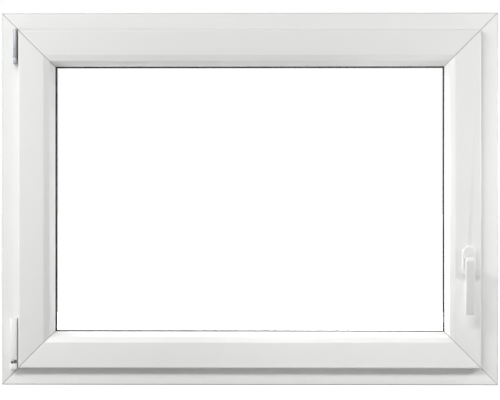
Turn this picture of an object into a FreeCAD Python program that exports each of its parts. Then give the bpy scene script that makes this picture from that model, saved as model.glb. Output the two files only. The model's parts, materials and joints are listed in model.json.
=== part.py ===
import FreeCAD, Part
import math
import os
import Sketcher
from FreeCAD import Vector, Rotation

# Tilt and turn window, white plastic, hung on the left and seen from the room.
# X runs right, Y runs from the room to the outside, Z runs up, all in millimetres.
# The origin is the middle of the underside, halfway through the depth of the outer frame.

doc = FreeCAD.newDocument("tilt_and_turn_window")
sizes = doc.addObject("Spreadsheet::Sheet", "Sizes")

# Driving sizes
DRIVING_SIZES = [
    # whole window
    ("window_width", 1000),
    ("window_height", 750),
    # outer frame section, heights taken from the outer edge of the window inwards
    ("frame_depth", 70),
    ("frame_sight", 35),
    ("sash_lap", 8),
    ("outer_lip_lap", 10),
    ("outer_lip_thick", 16),
    ("outer_lip_slope", 3),
    ("frame_edge_round", 3),
    ("frame_inner_round", 1.5),
    ("drain_channel_wide", 8),
    ("drain_channel_deep", 3),
    ("fixing_groove_wide", 8),
    ("fixing_groove_deep", 4),
    ("fixing_groove_inset", 9),
    # sash section
    ("sash_proud", 19),
    ("lap_gap", 3.5),
    ("hardware_gap", 12),
    ("sash_sight", 52),
    ("sash_edge_round", 3),
    ("sash_inner_round", 0.8),
    ("hardware_groove_inset", 14),
    ("hardware_groove_wide", 20),
    ("hardware_groove_deep", 6),
    ("glazing_lip_slope", 8),
    ("glazing_lip_nose", 5),
    # groove of the cleaned weld along each mitre
    ("seam_half_wide", 1.3),
    ("seam_deep", 0.9),
    # glazing bead
    ("bead_sight", 21),
    ("bead_deep", 22),
    ("bead_step", 0.8),
    ("bead_shoulder", 10.5),
    ("bead_shoulder_fall", 3.5),
    ("bead_shoulder_round", 3),
    ("bead_edge_round", 0.5),
    ("bead_nose", 1.6),
    ("bead_foot_wide", 4),
    ("bead_foot_deep", 3),
    ("bead_foot_inset", 6),
    ("bead_fit", 0.2),
    # glass unit and its gaskets
    ("pane_thick", 4),
    ("spacer_wide", 16),
    ("spacer_tall", 6.5),
    ("seal_tall", 4),
    ("glass_edge_gap", 5),
    ("inner_gasket_thick", 2.3),
    ("inner_gasket_tall", 6),
    ("outer_gasket_thick", 3),
    ("outer_gasket_tall", 6),
    ("gasket_show", 0.8),
    # gaskets between frame and sash
    ("frame_gasket_tall", 8),
    ("frame_gasket_thick", 3),
    ("lap_gasket_tall", 4),
    ("lap_gasket_inset", 2),
    # drain slots and their caps on the outside of the sill member
    ("drain_spacing", 600),
    ("drain_slot_wide", 25),
    ("drain_slot_tall", 5),
    ("drain_cap_wide", 42),
    ("drain_cap_tall", 14),
    ("drain_cap_thick", 5),
    ("drain_cap_round", 1.5),
    ("drain_cap_wall", 1.6),
    # frame screw holes through the jambs
    ("fixing_hole_bore", 7.5),
    ("fixing_hole_spacing", 450),
    # handle
    ("handle_from_edge", 60),
    ("handle_up", 250),
    ("rosette_wide", 28),
    ("rosette_tall", 62),
    ("rosette_thick", 11),
    ("rosette_round", 3),
    ("neck_bore_fit", 0.4),
    ("neck_wide", 18),
    ("grip_wide", 18),
    ("grip_reach", 106),
    ("grip_thick", 12),
    ("grip_tip_thick", 9),
    ("grip_bow", 12),
    ("handle_stand", 50),
    ("grip_round", 2),
    ("neck_end_gap", 1),
    ("spindle_square", 7),
    ("spindle_deep", 30),
    ("spindle_grip", 20),
    ("spindle_bore", 12),
    ("spindle_end_gap", 2),
    # upper hinge, beside the sash on the left jamb
    ("hinge_pin_wide", 3),
    ("hinge_fit", 0.15),
    ("hinge_axis_in", 4.5),
    ("top_hinge_gap", 3.2),
    ("top_hinge_wide", 7.5),
    ("top_hinge_round", 3.5),
    ("top_hinge_down", 90),
    ("top_hinge_tall", 58),
    ("top_knuckle_tall", 12),
    ("top_pin_reach", 30),
    ("knuckle_gap", 0.3),
    ("cap_wall", 0.9),
    ("cap_fit", 0.2),
    ("cover_gap", 0.3),
    ("leaf_thick", 2),
    ("leaf_lap", 1),
    ("bore_end", 3),
    # lower hinge
    ("bottom_hinge_gap", 2),
    ("bottom_hinge_wide", 14.5),
    ("bottom_hinge_round", 4),
    ("bottom_bearing_up", 33),
    ("bottom_bearing_tall", 11),
    ("bottom_cover_up", 51.5),
    ("bottom_cover_tall", 84),
    ("bottom_pin_reach", 20),
    ("screw_aside", 4),
    ("screw_wide", 5),
    ("screw_tall", 4),
    ("screw_key_wide", 2.5),
    ("screw_key_deep", 2),
]
for row, (alias, value) in enumerate(DRIVING_SIZES, start=1):
    sizes.set(f"A{row}", alias)
    sizes.set(f"B{row}", str(value))
    sizes.setAlias(f"B{row}", alias)
doc.recompute()

# Millimetres that a cutting outline runs past the piece, and within which two places are the same
PAST = 1
SAME = 0.01
LEAST_CUT = 0.1


def size(alias):
    return f"Sizes.{alias}"


# Places that several pieces share, each written once from the driving sizes.
# Heights called "in" are taken from the outer edge of the window towards its middle.
WIDTH = size("window_width")
HEIGHT = size("window_height")
ROOM = f"(-{size('frame_depth')} / 2)"
OUTSIDE = f"({size('frame_depth')} / 2)"
SASH_ROOM = f"({ROOM} - {size('sash_proud')})"
LAP_BACK = f"({ROOM} - {size('lap_gap')})"
LIP_FACE = f"({OUTSIDE} - {size('outer_lip_thick')})"
SASH_OUT = f"({LIP_FACE} - {size('frame_gasket_thick')})"
REBATE_IN = f"({size('frame_sight')} + {size('sash_lap')})"
SASH_BAR_IN = f"({REBATE_IN} + {size('hardware_gap')})"
LIP_IN = f"({SASH_BAR_IN} + {size('outer_lip_lap')})"
BEAD_IN = f"({size('frame_sight')} + {size('sash_sight')})"
SIGHT_IN = f"({BEAD_IN} + {size('bead_sight')})"
GLASS_IN = f"({BEAD_IN} + {size('glass_edge_gap')})"
BEAD_BACK = f"({SASH_ROOM} + {size('bead_deep')})"
INNER_PANE_FACE = f"({BEAD_BACK} + {size('inner_gasket_thick')})"
INNER_PANE_BACK = f"({INNER_PANE_FACE} + {size('pane_thick')})"
OUTER_PANE_FACE = f"({INNER_PANE_BACK} + {size('spacer_wide')})"
OUTER_PANE_BACK = f"({OUTER_PANE_FACE} + {size('pane_thick')})"
GLAZING_LIP = f"({OUTER_PANE_BACK} + {size('outer_gasket_thick')})"


def plane(body, role):
    return next(item for item in body.Origin.OriginFeatures if item.Role == role)


def number(expression):
    value = sizes.evalExpression(expression)
    return float(getattr(value, "Value", value))


def new_body(label, x="0", y="0", z="0", turn=0):
    body = doc.addObject("PartDesign::Body", label)
    body.Label = label
    body.Placement = FreeCAD.Placement(Vector(0, 0, 0), Rotation(Vector(0, 1, 0), turn))
    for axis, expression in zip("xyz", (x, y, z)):
        body.setExpression(f"Placement.Base.{axis}", expression)
    doc.recompute()
    return body


def new_sketch(body, name, role):
    sketch = body.newObject("Sketcher::SketchObject", name)
    sketch.AttachmentSupport = (plane(body, role), [""])
    sketch.MapMode = "FlatFace"
    return sketch


def sketch_at(body, name, role, offset):
    sketch = new_sketch(body, name, role)
    sketch.setExpression("AttachmentOffset.Base.z", offset)
    return sketch


def pin_point(sketch, geometry, end, across, up, name):
    for letter, kind, expression in (("x", "DistanceX", across), ("y", "DistanceY", up)):
        constraint = Sketcher.Constraint(kind, -1, 1, geometry, end, number(expression))
        index = sketch.addConstraint(constraint)
        sketch.renameConstraint(index, f"{name}_{letter}")
        sketch.setExpression(f"Constraints.{name}_{letter}", expression)


def arc_between(start, end, radius, side):
    """An arc of less than half a turn whose centre lies left (1) or right (-1) of the way from start to end."""
    chord = end - start
    middle = (start + end) * 0.5
    away = max(radius**2 - (chord.Length / 2) ** 2, 0) ** 0.5
    across = Vector(-chord.y, chord.x, 0).normalize() * away * side
    centre = middle + across
    begin, finish = (start, end) if side > 0 else (end, start)
    angles = [math.atan2(point.y - centre.y, point.x - centre.x) for point in (begin, finish)]
    if angles[1] <= angles[0]:
        angles[1] += 2 * math.pi
    circle = Part.Circle(centre, Vector(0, 0, 1), radius)
    return Part.ArcOfCircle(circle, angles[0], angles[1])


def add_loop(sketch, name, corners, arcs=None):
    """A closed outline through the corners. arcs gives the radius and side of each rounded stretch."""
    arcs = arcs or {}
    points = [Vector(number(across), number(up), 0) for across, up in corners]
    first = sketch.GeometryCount
    ends = []
    for index, point in enumerate(points):
        following = points[(index + 1) % len(points)]
        if index in arcs:
            radius, side = arcs[index]
            sketch.addGeometry(arc_between(point, following, number(radius), side), False)
        else:
            side = 1
            sketch.addGeometry(Part.LineSegment(point, following), False)
        ends.append((1, 2) if side > 0 else (2, 1))
    for index in range(len(points)):
        after = (index + 1) % len(points)
        joined = (first + index, ends[index][1], first + after, ends[after][0])
        sketch.addConstraint(Sketcher.Constraint("Coincident", *joined))
    for index, (across, up) in enumerate(corners):
        pin_point(sketch, first + index, ends[index][0], across, up, f"{name}_{index}")
    for index, (radius, side) in arcs.items():
        bind_radius(sketch, first + index, radius, f"{name}_arc_{index}")


def bind_radius(sketch, geometry, radius, name):
    constraint = sketch.addConstraint(Sketcher.Constraint("Radius", geometry, number(radius)))
    sketch.renameConstraint(constraint, name)
    sketch.setExpression(f"Constraints.{name}", radius)


def add_circle(sketch, name, across, up, radius):
    centre = Vector(number(across), number(up), 0)
    index = sketch.addGeometry(Part.Circle(centre, Vector(0, 0, 1), number(radius)), False)
    pin_point(sketch, index, 3, across, up, name)
    bind_radius(sketch, index, radius, f"{name}_radius")


def rectangle(left, bottom, right, top):
    return [(left, bottom), (right, bottom), (right, top), (left, top)]


def pad(body, sketch, length, name="Pad", both_ways=False, reverse=False):
    doc.recompute()
    feature = body.newObject("PartDesign::Pad", name)
    feature.Profile = sketch
    if both_ways:
        feature.SideType = "Symmetric"
    feature.Reversed = reverse
    feature.setExpression("Length", length)
    doc.recompute()
    return feature


def pocket(body, sketch, length=None, name="Pocket", both_ways=False, reverse=False):
    doc.recompute()
    before = body.Shape.Volume
    feature = body.newObject("PartDesign::Pocket", name)
    feature.Profile = sketch
    feature.Reversed = reverse
    if both_ways:
        feature.SideType = "Symmetric"
    if length is None:
        feature.Type = "ThroughAll"
    else:
        feature.setExpression("Length", length)
    doc.recompute()
    if body.Shape.Volume > before - LEAST_CUT:
        raise ValueError(f"{body.Label}: {feature.Label} takes nothing away")
    return feature


def edges_at(feature, places, axis="x"):
    # edges parallel to the given axis that pass through the given places in the other two
    found = []
    others = [name for name in "xyz" if name != axis]
    for index, edge in enumerate(feature.Shape.Edges, start=1):
        if len(edge.Vertexes) < 2:
            continue
        start, end = edge.Vertexes[0].Point, edge.Vertexes[-1].Point
        if any(abs(getattr(start, name) - getattr(end, name)) > SAME for name in others):
            continue
        for place in places:
            if all(abs(getattr(start, name) - value) < SAME for name, value in zip(others, place)):
                found.append(f"Edge{index}")
    if len(found) < len(places):
        raise ValueError(f"{feature.Label}: an edge to round was not found")
    return found


def soften(body, feature, edges, radius, name, kind="Fillet"):
    rounding = body.newObject(f"PartDesign::{kind}", name)
    rounding.Base = (feature, edges)
    rounding.setExpression("Radius" if kind == "Fillet" else "Size", radius)
    doc.recompute()
    return rounding


# Members with mitred ends. Each is drawn as if it were the bottom one, then turned into place.
SIDES = {
    "bottom": (("0", "0", "0"), 0, WIDTH),
    "top": (("0", "0", HEIGHT), 180, WIDTH),
    "left": ((f"-{WIDTH} / 2", "0", f"{HEIGHT} / 2"), 90, HEIGHT),
    "right": ((f"{WIDTH} / 2", "0", f"{HEIGHT} / 2"), -90, HEIGHT),
}


def mitred_member(label, side, section, reach, rounds, seams=()):
    """A length of profile, mitred at both ends, with the groove of the cleaned weld in each seam face."""
    place, turn, length = SIDES[side]
    body = new_body(label, *place, turn=turn)
    sketch = new_sketch(body, "Section", "YZ_Plane")
    add_loop(sketch, "corner", section)
    feature = pad(body, sketch, length, "Extrusion", both_ways=True)
    for name, radius, places in rounds:
        spots = [(number(y), number(z)) for y, z in places]
        feature = soften(body, feature, edges_at(feature, spots), radius, name)
    mitres = new_sketch(body, "Mitres", "XZ_Plane")
    for name, sign in (("right", ""), ("left", "-")):
        edge = f"{sign}({length} / 2 + {PAST})"
        tip = f"{sign}({length} / 2 - {reach} - {PAST})"
        above = f"{reach} + {PAST}"
        add_loop(mitres, name, [(edge, f"-{PAST}"), (tip, above), (edge, above)])
    pocket(body, mitres, name="Mitre_cuts", both_ways=True)
    if seams:
        past_both_ends = f"3 * {reach}"
        for name, sign, degrees in (("right", "", 45), ("left", "-", -45)):
            seam = new_sketch(body, f"Seam_{name}", "YZ_Plane")
            seam.AttachmentOffset = FreeCAD.Placement(Vector(0, 0, 0), Rotation(Vector(1, 0, 0), degrees))
            seam.setExpression("AttachmentOffset.Base.z", f"{sign}{length} / 2")
            for index, (face, inwards) in enumerate(seams):
                add_loop(seam, f"groove_{index}", seam_outline(face, inwards))
            pocket(body, seam, past_both_ends, f"Seam_groove_{name}", both_ways=True)
    return body


def seam_outline(face, inwards):
    half = size("seam_half_wide")
    above = f"({face} - {inwards} * {size('seam_deep')})"
    return [
        (f"{face} + {inwards} * {size('seam_deep')}", "0"),
        (face, half),
        (above, half),
        (above, f"-{half}"),
        (face, f"-{half}"),
    ]


def ring(label, outer_in, inner_in, face, thickness):
    """A flat frame that runs round the window, from one distance in from the edge to another."""
    body = new_body(label, y=f"{face} + {thickness}")
    sketch = new_sketch(body, "Outline", "XZ_Plane")
    for name, inset in (("outer", f"({outer_in})"), ("inner", f"({inner_in})")):
        side = f"({WIDTH} / 2 - {inset})"
        add_loop(sketch, name, rectangle(f"-{side}", inset, side, f"{HEIGHT} - {inset}"))
    pad(body, sketch, thickness, "Thickness")
    return body


def sheet_of_glass(label, face):
    body = new_body(label, y=f"{face} + {size('pane_thick')}")
    sketch = new_sketch(body, "Outline", "XZ_Plane")
    side = f"({WIDTH} / 2 - {GLASS_IN})"
    add_loop(sketch, "edge", rectangle(f"-{side}", GLASS_IN, side, f"{HEIGHT} - {GLASS_IN}"))
    pad(body, sketch, size("pane_thick"), "Thickness")
    return body


# Outer frame
DRAIN_FLOOR = f"({REBATE_IN} - {size('drain_channel_deep')})"
DRAIN_BACK = f"({LIP_FACE} - {size('drain_channel_wide')})"
GROOVE_ROOM = f"({ROOM} + {size('fixing_groove_inset')})"
GROOVE_OUT = f"({OUTSIDE} - {size('fixing_groove_inset')})"
GROOVE_DEEP = size("fixing_groove_deep")
GROOVE_WIDE = size("fixing_groove_wide")
FRAME_SECTION = [
    (ROOM, "0"),
    (GROOVE_ROOM, "0"),
    (GROOVE_ROOM, GROOVE_DEEP),
    (f"{GROOVE_ROOM} + {GROOVE_WIDE}", GROOVE_DEEP),
    (f"{GROOVE_ROOM} + {GROOVE_WIDE}", "0"),
    (f"{GROOVE_OUT} - {GROOVE_WIDE}", "0"),
    (f"{GROOVE_OUT} - {GROOVE_WIDE}", GROOVE_DEEP),
    (GROOVE_OUT, GROOVE_DEEP),
    (GROOVE_OUT, "0"),
    (OUTSIDE, "0"),
    (OUTSIDE, f"{LIP_IN} - {size('outer_lip_slope')}"),
    (f"{LIP_FACE} + {size('outer_lip_slope')}", LIP_IN),
    (LIP_FACE, LIP_IN),
    (LIP_FACE, DRAIN_FLOOR),
    (DRAIN_BACK, DRAIN_FLOOR),
    (DRAIN_BACK, REBATE_IN),
    (ROOM, REBATE_IN),
]
FRAME_ROUNDS = [
    ("Outer_edge", size("frame_edge_round"), [(ROOM, "0")]),
    ("Inner_edge", size("frame_inner_round"), [(ROOM, REBATE_IN)]),
]
FRAME_SEAMS = [(ROOM, 1), (OUTSIDE, -1)]
frame = {
    side: mitred_member(label, side, FRAME_SECTION, LIP_IN, FRAME_ROUNDS, FRAME_SEAMS)
    for side, label in (
        ("top", "frame_head"),
        ("bottom", "frame_sill"),
        ("left", "frame_jamb_left"),
        ("right", "frame_jamb_right"),
    )
}

# Drain slots through the outer lip of the sill member, one at each side
def drain_places():
    return (("left", f"(-{size('drain_spacing')} / 2)"), ("right", f"({size('drain_spacing')} / 2)"))


slots = sketch_at(frame["bottom"], "Drain_slots", "XZ_Plane", f"-{LIP_FACE}")
SLOT_TOP = f"({DRAIN_FLOOR} + {size('drain_slot_tall')})"
for name, middle in drain_places():
    half = f"{size('drain_slot_wide')} / 2"
    add_loop(slots, name, rectangle(f"{middle} - {half}", DRAIN_FLOOR, f"{middle} + {half}", SLOT_TOP))
pocket(frame["bottom"], slots, name="Drain_slot_cuts")

# Frame screw holes through both jambs
for side in ("left", "right"):
    holes = new_sketch(frame[side], "Frame_screw_holes", "XY_Plane")
    for name, sign in (("upper", ""), ("lower", "-")):
        across = f"{sign}{size('fixing_hole_spacing')} / 2"
        add_circle(holes, name, across, "0", f"{size('fixing_hole_bore')} / 2")
    pocket(frame[side], holes, name="Frame_screw_hole_cuts", reverse=True)

# Sash
FOOT_FACE = f"({SASH_ROOM} + {size('bead_foot_inset')})"
FOOT_BACK = f"({FOOT_FACE} + {size('bead_foot_wide')})"
FOOT_IN = f"({BEAD_IN} - {size('bead_foot_deep')})"
HARDWARE_FACE = f"({LAP_BACK} + {size('hardware_groove_inset')})"
HARDWARE_BACK = f"({HARDWARE_FACE} + {size('hardware_groove_wide')})"
HARDWARE_IN = f"({SASH_BAR_IN} + {size('hardware_groove_deep')})"
SASH_SECTION = [
    (SASH_ROOM, size("frame_sight")),
    (SASH_ROOM, BEAD_IN),
    (FOOT_FACE, BEAD_IN),
    (FOOT_FACE, FOOT_IN),
    (FOOT_BACK, FOOT_IN),
    (FOOT_BACK, BEAD_IN),
    (GLAZING_LIP, BEAD_IN),
    (GLAZING_LIP, SIGHT_IN),
    (f"{GLAZING_LIP} + {size('glazing_lip_nose')}", SIGHT_IN),
    (SASH_OUT, f"{SIGHT_IN} - {size('glazing_lip_slope')}"),
    (SASH_OUT, SASH_BAR_IN),
    (HARDWARE_BACK, SASH_BAR_IN),
    (HARDWARE_BACK, HARDWARE_IN),
    (HARDWARE_FACE, HARDWARE_IN),
    (HARDWARE_FACE, SASH_BAR_IN),
    (LAP_BACK, SASH_BAR_IN),
    (LAP_BACK, size("frame_sight")),
]
SASH_ROUNDS = [
    ("Lap_edge", size("sash_edge_round"), [(SASH_ROOM, size("frame_sight"))]),
    ("Bead_side_edge", size("sash_inner_round"), [(SASH_ROOM, BEAD_IN)]),
]
SASH_SEAMS = [(SASH_ROOM, 1), (SASH_OUT, -1)]
sash = {
    side: mitred_member(label, side, SASH_SECTION, SIGHT_IN, SASH_ROUNDS, SASH_SEAMS)
    for side, label in (
        ("top", "sash_top_rail"),
        ("bottom", "sash_bottom_rail"),
        ("left", "sash_hinge_stile"),
        ("right", "sash_handle_stile"),
    )
}

# Glazing beads, each with a foot that snaps into the groove of the sash
BEAD_FACE = f"({SASH_ROOM} + {size('bead_step')})"
FIT = size("bead_fit")
SHOULDER = (f"{BEAD_FACE} + {size('bead_shoulder_fall')}", f"{BEAD_IN} + {size('bead_shoulder')}")
BEAD_SECTION = [
    (BEAD_FACE, BEAD_IN),
    (f"{FOOT_FACE} + {FIT}", BEAD_IN),
    (f"{FOOT_FACE} + {FIT}", f"{FOOT_IN} + {FIT}"),
    (f"{FOOT_BACK} - {FIT}", f"{FOOT_IN} + {FIT}"),
    (f"{FOOT_BACK} - {FIT}", BEAD_IN),
    (BEAD_BACK, BEAD_IN),
    (BEAD_BACK, SIGHT_IN),
    (f"{BEAD_BACK} - {size('bead_nose')}", SIGHT_IN),
    SHOULDER,
]
BEAD_ROUNDS = [
    ("Shoulder", size("bead_shoulder_round"), [SHOULDER]),
    ("Sash_side_edge", size("bead_edge_round"), [(BEAD_FACE, BEAD_IN)]),
]
for side in ("top", "bottom", "left", "right"):
    mitred_member(f"glazing_bead_{side}", side, BEAD_SECTION, SIGHT_IN, BEAD_ROUNDS)

# Glass unit: two panes, the spacer between them and the seal round its edge
sheet_of_glass("inner_pane", INNER_PANE_FACE)
sheet_of_glass("outer_pane", OUTER_PANE_FACE)
SPACER_IN = f"({GLASS_IN} + {size('seal_tall')})"
ring("edge_seal", GLASS_IN, SPACER_IN, INNER_PANE_BACK, size("spacer_wide"))
ring("spacer_bar", SPACER_IN, f"{SPACER_IN} + {size('spacer_tall')}", INNER_PANE_BACK, size("spacer_wide"))

# Gaskets
GASKET_EDGE = f"({SIGHT_IN} + {size('gasket_show')})"
ring(
    "inner_glazing_gasket",
    f"{GASKET_EDGE} - {size('inner_gasket_tall')}",
    GASKET_EDGE,
    BEAD_BACK,
    size("inner_gasket_thick"),
)
ring(
    "outer_glazing_gasket",
    f"{GASKET_EDGE} - {size('outer_gasket_tall')}",
    GASKET_EDGE,
    OUTER_PANE_BACK,
    size("outer_gasket_thick"),
)
LAP_GASKET_IN = f"({size('frame_sight')} + {size('lap_gasket_inset')})"
ring("lap_gasket", LAP_GASKET_IN, f"{LAP_GASKET_IN} + {size('lap_gasket_tall')}", LAP_BACK, size("lap_gap"))
SEAL_TOP = f"({LIP_IN} + {size('gasket_show')})"
ring(
    "frame_gasket",
    f"{SEAL_TOP} - {size('frame_gasket_tall')}",
    SEAL_TOP,
    SASH_OUT,
    size("frame_gasket_thick"),
)

# Drain caps over the slots, on the outside of the sill member, hollow and open at the foot
SLOT_MIDDLE = f"({DRAIN_FLOOR} + {size('drain_slot_tall')} / 2)"
CAP_HALF = f"({size('drain_cap_wide')} / 2)"
CAP_TALL = f"({size('drain_cap_tall')} / 2)"
CAP_WALL = size("drain_cap_wall")
caps = new_body("drain_caps", y=OUTSIDE)
cap_sketch = new_sketch(caps, "Cap_outlines", "XZ_Plane")
for name, middle in drain_places():
    left, right = f"{middle} - {CAP_HALF}", f"{middle} + {CAP_HALF}"
    corners = rectangle(left, f"{SLOT_MIDDLE} - {CAP_TALL}", right, f"{SLOT_MIDDLE} + {CAP_TALL}")
    add_loop(cap_sketch, name, corners)
cap_pad = pad(caps, cap_sketch, size("drain_cap_thick"), "Caps", reverse=True)
cap_edges = [
    f"Edge{index}"
    for index, edge in enumerate(cap_pad.Shape.Edges, start=1)
    if edge.BoundBox.YMin > number(size("drain_cap_thick")) - SAME
]
soften(caps, cap_pad, cap_edges, size("drain_cap_round"), "Cap_edges")
hollows = new_sketch(caps, "Cap_hollows", "XZ_Plane")
for name, middle in drain_places():
    left, right = f"{middle} - {CAP_HALF} + {CAP_WALL}", f"{middle} + {CAP_HALF} - {CAP_WALL}"
    foot = f"{SLOT_MIDDLE} - {CAP_TALL} - {PAST}"
    add_loop(hollows, name, rectangle(left, foot, right, f"{SLOT_MIDDLE} + {CAP_TALL} - {CAP_WALL}"))
pocket(caps, hollows, f"{size('drain_cap_thick')} - {CAP_WALL}", "Cap_hollow_cuts")

# Handle. The spindle turns in a bore of the handle stile.
SPINDLE_X = f"({WIDTH} / 2 - {size('handle_from_edge')})"
SPINDLE_Z = size("handle_up")
bore = sketch_at(sash["right"], "Spindle_bore", "XZ_Plane", f"-{SASH_ROOM}")
add_circle(
    bore,
    "spindle",
    f"{SPINDLE_Z} - {HEIGHT} / 2",
    size("handle_from_edge"),
    f"{size('spindle_bore')} / 2",
)
pocket(sash["right"], bore, f"{size('spindle_deep')} + {size('spindle_end_gap')}", "Spindle_bore_cut")


def stadium(half_wide, half_tall):
    """An upright outline round the origin, with half circles for its ends."""
    straight = f"({half_tall} - {half_wide})"
    corners = [
        (half_wide, f"-{straight}"),
        (half_wide, straight),
        ("0", half_tall),
        (f"-{half_wide}", straight),
        (f"-{half_wide}", f"-{straight}"),
        ("0", f"-{half_tall}"),
    ]
    return corners, {index: (half_wide, 1) for index in (1, 2, 4, 5)}


def bow_radius(along, aside):
    """Radius of an arc that leaves a straight line and is the given distance aside after going along it."""
    return f"(({along} * {along} + {aside} * {aside}) / (2 * {aside}))"


rosette = new_body("handle_rosette", SPINDLE_X, SASH_ROOM, SPINDLE_Z)
plate = new_sketch(rosette, "Plate", "XZ_Plane")
plate_corners, plate_arcs = stadium(f"({size('rosette_wide')} / 2)", f"({size('rosette_tall')} / 2)")
add_loop(plate, "plate", plate_corners, plate_arcs)
plate_pad = pad(rosette, plate, size("rosette_thick"), "Plate_thickness")
front_edges = [
    f"Edge{index}"
    for index, edge in enumerate(plate_pad.Shape.Edges, start=1)
    if edge.BoundBox.YMax < -number(size("rosette_thick")) + SAME
]
soften(rosette, plate_pad, front_edges, size("rosette_round"), "Plate_edge")
neck_hole = new_sketch(rosette, "Neck_hole", "XZ_Plane")
add_circle(neck_hole, "neck", "0", "0", f"{size('neck_wide')} / 2 + {size('neck_bore_fit')}")
pocket(rosette, neck_hole, name="Neck_hole_cut", reverse=True)

# The lever is drawn from its spindle end, Y running back from its front plane into the sash.
# Its neck is round, and its grip is an outline whose front and back are then cut to bowed faces.
NECK_GAP = size("neck_end_gap")
FRONT = f"({size('handle_stand')} - {NECK_GAP})"
HALF_GRIP = f"({size('grip_wide')} / 2)"
REACH = size("grip_reach")
lever = new_body("handle_lever", SPINDLE_X, f"{SASH_ROOM} - {NECK_GAP}", SPINDLE_Z)
grip_back = f"({FRONT} - {size('grip_thick')} - {size('grip_bow')})"
grip = sketch_at(lever, "Grip", "XZ_Plane", grip_back)
grip_corners = [
    (f"-{HALF_GRIP}", "0"),
    (f"-{HALF_GRIP}", f"-{REACH}"),
    (HALF_GRIP, f"-{REACH}"),
    (HALF_GRIP, "0"),
    ("0", HALF_GRIP),
]
add_loop(grip, "grip", grip_corners, {3: (HALF_GRIP, 1), 4: (HALF_GRIP, 1)})
pad(lever, grip, f"{FRONT} - {grip_back}", "Grip_block")
bows = new_sketch(lever, "Front_and_back", "YZ_Plane")
TIP_FRONT = f"({FRONT} - {size('grip_bow')})"
TIP_BACK = f"({TIP_FRONT} - {size('grip_tip_thick')})"
GRIP_BACK = f"({FRONT} - {size('grip_thick')})"
BEYOND = f"(-{REACH} - {PAST})"
front_corners = [
    (f"-({FRONT} - {HALF_GRIP})", HALF_GRIP),
    (f"-{FRONT}", "0"),
    (f"-{TIP_FRONT}", f"-{REACH}"),
    (f"-{TIP_FRONT}", BEYOND),
    (f"-{FRONT} - {PAST}", BEYOND),
    (f"-{FRONT} - {PAST}", f"{HALF_GRIP} + {PAST}"),
    (f"-({FRONT} - {HALF_GRIP})", f"{HALF_GRIP} + {PAST}"),
]
front_bow = bow_radius(REACH, size("grip_bow"))
add_loop(bows, "front", front_corners, {0: (HALF_GRIP, 1), 1: (front_bow, 1)})
back_corners = [
    (f"-{GRIP_BACK}", f"-{HALF_GRIP}"),
    (f"-{TIP_BACK}", f"-{REACH}"),
    (f"-{TIP_BACK}", BEYOND),
    (f"-{grip_back} + {PAST}", BEYOND),
    (f"-{grip_back} + {PAST}", f"-{HALF_GRIP}"),
]
back_bow = bow_radius(f"({REACH} - {HALF_GRIP})", f"({GRIP_BACK} - {TIP_BACK})")
add_loop(bows, "back", back_corners, {0: (back_bow, 1)})
shaped = pocket(lever, bows, name="Front_and_back_cut", both_ways=True)


def grip_edges(feature):
    """The long edges of the grip and the curved ones round its head, all bowed in depth."""
    back = -number(grip_back)
    least_bow = number(size("grip_round")) / 4
    found = []
    for index, edge in enumerate(feature.Shape.Edges, start=1):
        box = edge.BoundBox
        long_side = box.XLength < SAME
        round_head = box.ZMin > -SAME
        bowed = box.YLength > least_bow and box.ZLength > number(size("grip_round"))
        if box.YMax < back - SAME and bowed and (long_side or round_head):
            found.append(f"Edge{index}")
    return found


soften(lever, shaped, grip_edges(shaped), size("grip_round"), "Grip_edges")
neck = new_sketch(lever, "Neck", "XZ_Plane")
add_circle(neck, "neck", "0", "0", f"{size('neck_wide')} / 2")
pad(lever, neck, f"{grip_back} + {PAST}", "Neck_length")

# the spindle is a square bar held in the neck of the lever
spindle = new_body("handle_spindle", SPINDLE_X, f"{SASH_ROOM} + {size('spindle_deep')}", SPINDLE_Z)
SPINDLE_HALF = f"({size('spindle_square')} / 2)"
square = new_sketch(spindle, "Square", "XZ_Plane")
add_loop(square, "side", rectangle(f"-{SPINDLE_HALF}", f"-{SPINDLE_HALF}", SPINDLE_HALF, SPINDLE_HALF))
pad(spindle, square, f"{size('spindle_deep')} + {size('spindle_grip')}", "Spindle_length")
socket = new_sketch(lever, "Spindle_socket", "XZ_Plane")
add_loop(socket, "side", rectangle(f"-{SPINDLE_HALF}", f"-{SPINDLE_HALF}", SPINDLE_HALF, SPINDLE_HALF))
pocket(lever, socket, f"{size('spindle_grip')} - {NECK_GAP}", "Spindle_socket_cut", reverse=True)

# Hinges at the left. Both turn about one upright line beside the edge of the sash.
SASH_EDGE = f"(-{WIDTH} / 2 + {size('frame_sight')})"
TOP_SIDE = f"({SASH_EDGE} - {size('top_hinge_gap')})"
LOW_SIDE = f"({SASH_EDGE} - {size('bottom_hinge_gap')})"
AXIS_X = f"({TOP_SIDE} - {size('top_hinge_wide')} / 2)"
AXIS_Y = f"({SASH_ROOM} + {size('hinge_axis_in')})"
COVER_FACE = f"({ROOM} - {size('cover_gap')})"
LEAF_BACK = f"({LAP_BACK} + {size('leaf_thick')})"


def add_hinge_outline(sketch, side, wide, back, inset, rounding):
    """A block seen from above, square at its back and with both corners towards the room rounded."""
    left = f"({side} - {wide} + {inset})"
    right = f"({side} - {inset})"
    front = f"({SASH_ROOM} + {inset})"
    radius = f"({rounding} - {inset})"
    corners = [
        (left, back),
        (left, f"{front} + {radius}"),
        (f"{left} + {radius}", front),
        (f"{right} - {radius}", front),
        (right, f"{front} + {radius}"),
        (right, back),
    ]
    add_loop(sketch, "outline", corners, {1: (radius, 1), 3: (radius, 1)})


def hinge_block(label, foot, tall, side, wide, back, rounding, inset="0"):
    """A block beside the edge of the sash, or one that lies the given inset inside it."""
    body = new_body(label, z=foot)
    sketch = new_sketch(body, "Outline", "XY_Plane")
    add_hinge_outline(sketch, side, wide, back, inset, rounding)
    pad(body, sketch, tall, "Height")
    return body


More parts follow.
